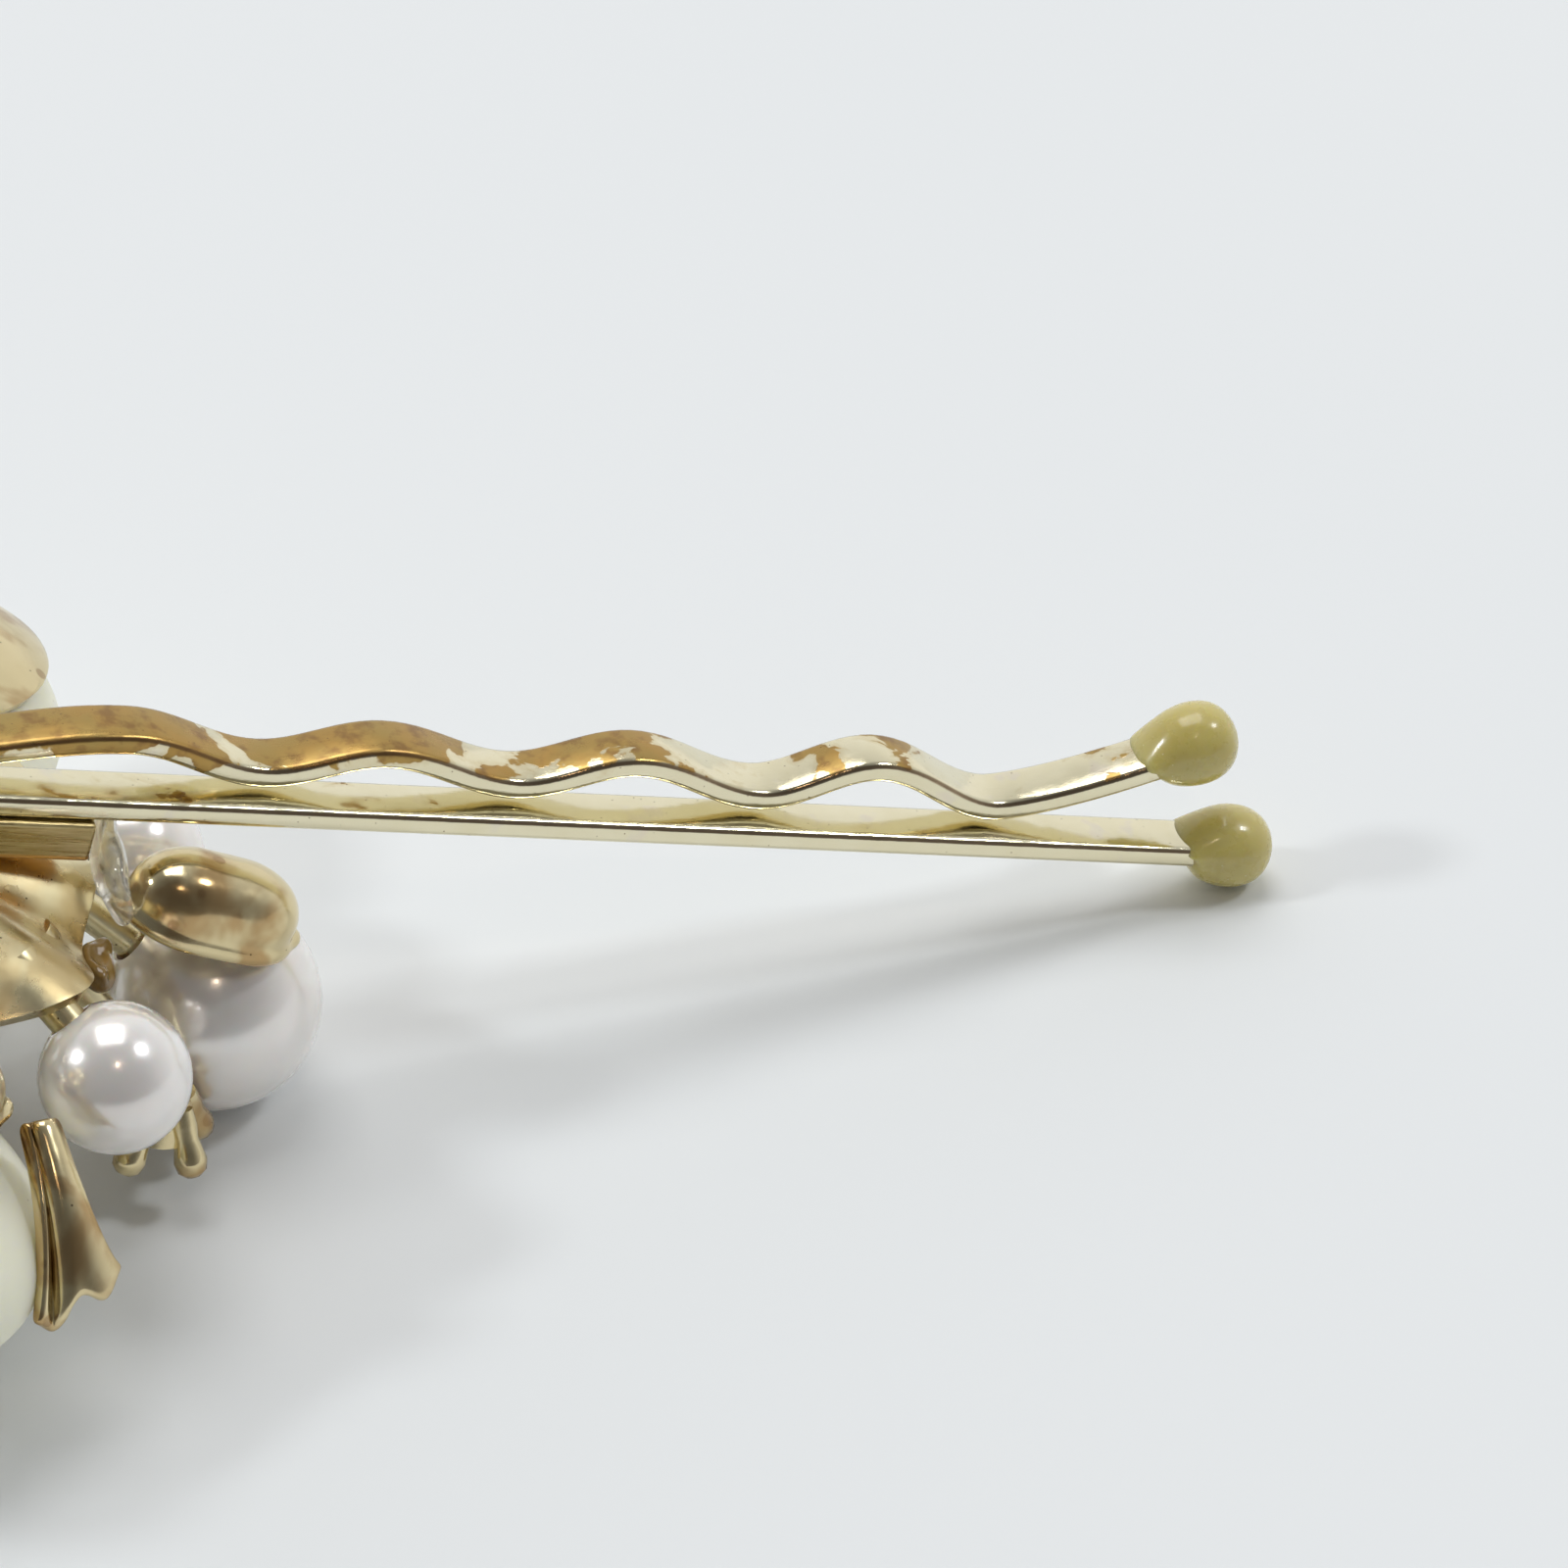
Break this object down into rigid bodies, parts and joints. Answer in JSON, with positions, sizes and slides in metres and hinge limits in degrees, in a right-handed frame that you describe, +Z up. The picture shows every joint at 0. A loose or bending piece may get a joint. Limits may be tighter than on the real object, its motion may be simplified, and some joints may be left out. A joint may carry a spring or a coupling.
{
  "type": "hair pin",
  "caption": "Sprung hair pin with a wavy leg, resin-balled ends and a domed ornament of pearls, ivory petals and gilt leaves.",
  "frame": {"origin": "centre of the bounding box's base, on the surface the pin lies on", "axes": "+X from the ornament and spring bend towards the resin-balled ends, +Y across the legs, +Z up; the pin lies face down on its ornament with its straight leg sloping down 16.5 degrees to the surface"},
  "size_m": [0.0578, 0.0298, 0.0195],
  "materials": {
    "gilt_wire": "polished",
    "ochre_resin": "gloss",
    "brass_bar": "brushed",
    "gilt_casting": "satin",
    "gilt_sheet": "polished",
    "pearl": "pearlescent gloss",
    "ivory_resin": "matte",
    "crystal": "faceted gloss",
    "clear_glue": "clear gloss",
    "amber_glue": "gloss"
  },
  "bodies": {
    "pin": {"straight_leg": "gilt_wire", "spring_bend": "gilt_wire", "straight_leg_tip": "ochre_resin", "mount_bar": "brass_bar", "back_plate": "gilt_casting", "large_pearl_1": "pearl", "large_pearl_stem_1": "gilt_casting", "large_pearl_2": "pearl", "large_pearl_stem_2": "gilt_casting", "large_pearl_3": "pearl", "large_pearl_stem_3": "gilt_casting", "large_pearl_4": "pearl", "large_pearl_stem_4": "gilt_casting", "small_pearl_1": "pearl", "small_pearl_stem_1": "gilt_casting", "small_pearl_2": "pearl", "small_pearl_stem_2": "gilt_casting", "small_pearl_3": "pearl", "small_pearl_stem_3": "gilt_casting", "small_pearl_4": "pearl", "small_pearl_stem_4": "gilt_casting", "small_pearl_5": "pearl", "small_pearl_stem_5": "gilt_casting", "ivory_petal_1": "ivory_resin", "petal_back_1": "gilt_sheet", "flared_leaf_1": "gilt_sheet", "capsule_1": "gilt_sheet", "ivory_petal_2": "ivory_resin", "petal_back_2": "gilt_sheet", "flared_leaf_2": "gilt_sheet", "capsule_2": "gilt_sheet", "ivory_petal_3": "ivory_resin", "petal_back_3": "gilt_sheet", "flared_leaf_3": "gilt_sheet", "capsule_3": "gilt_sheet", "ivory_petal_4": "ivory_resin", "petal_back_4": "gilt_sheet", "flared_leaf_4": "gilt_sheet", "capsule_4": "gilt_sheet", "claw_cup_1": "gilt_casting", "crystal_1": "crystal", "claw_stem_1": "gilt_casting", "claw_cup_2": "gilt_casting", "crystal_2": "crystal", "claw_stem_2": "gilt_casting", "claw_cup_3": "gilt_casting", "crystal_3": "crystal", "claw_stem_3": "gilt_casting", "front_tier": "gilt_casting", "clear_glue": "clear_glue", "amber_glue": "amber_glue"},
    "wavy_arm": {"wavy_leg": "gilt_wire", "wavy_leg_tip": "ochre_resin"}
  },
  "joints": [
    {"name": "leg_spread", "type": "hinge", "parent": "pin", "child": "wavy_arm", "pos_m": [-0.02507, -0.0006, 0.01803], "axis": [0, -1, 0], "range_deg": [0, 8], "stiffness_Nm_per_rad": 0.05, "springref_deg": -2.86}
  ]
}
